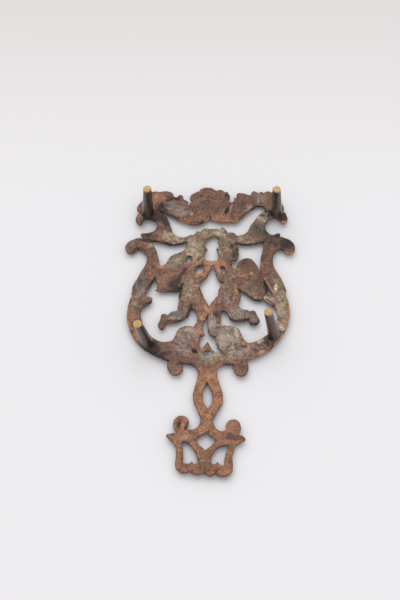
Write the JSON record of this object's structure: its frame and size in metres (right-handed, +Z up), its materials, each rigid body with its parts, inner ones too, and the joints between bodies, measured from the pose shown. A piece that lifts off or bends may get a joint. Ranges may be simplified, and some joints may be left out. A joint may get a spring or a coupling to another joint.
{
  "type": "footed trivet",
  "caption": "Ornamental sand-cast brass trivet with a pierced plate, crown-ended handle and tapered peg feet, lying face down with its feet up.",
  "frame": {"origin": "bottom centre of the bounding box, on the table plane that the decorated front rests on", "axes": "+Z up, out of the flat back towards the foot tips; +Y from the handle's crown to the crest; +X to the right when the handle is nearest; turn over 180 degrees about +X or +Y to stand it on its feet"},
  "size_m": [0.1266, 0.2396, 0.037],
  "materials": {
    "plate_mottled_patina": "old sand-cast brass, brown and grey-green mottled patina, satin",
    "handle_brown_patina": "old sand-cast brass, even warm brown patina, satin",
    "foot_dark_patina": "near-black smooth patina with a bare yellow worn tip"
  },
  "bodies": {
    "root": {"crest_shell": "plate_mottled_patina", "crest_leaf_left": "plate_mottled_patina", "crest_leaf_right": "plate_mottled_patina", "corner_scroll_left": "plate_mottled_patina", "corner_scroll_right": "plate_mottled_patina", "horn_leaf_left": "plate_mottled_patina", "horn_leaf_right": "plate_mottled_patina", "volute_left": "plate_mottled_patina", "volute_right": "plate_mottled_patina", "border_left": "plate_mottled_patina", "border_right": "plate_mottled_patina", "base_lobe_left": "plate_mottled_patina", "base_lobe_right": "plate_mottled_patina", "base_tulip": "plate_mottled_patina", "ball_left": "plate_mottled_patina", "ball_right": "plate_mottled_patina", "cherub_left": "plate_mottled_patina", "cherub_right": "plate_mottled_patina", "wing_left": "plate_mottled_patina", "wing_right": "plate_mottled_patina", "flower_garland": "plate_mottled_patina", "handle_loop": "handle_brown_patina", "handle_crown": "handle_brown_patina", "crown_curl_left": "handle_brown_patina", "crown_curl_right": "handle_brown_patina", "foot_back_left": "foot_dark_patina", "foot_back_right": "foot_dark_patina", "foot_front_left": "foot_dark_patina", "foot_front_right": "foot_dark_patina"}
  },
  "joints": []
}
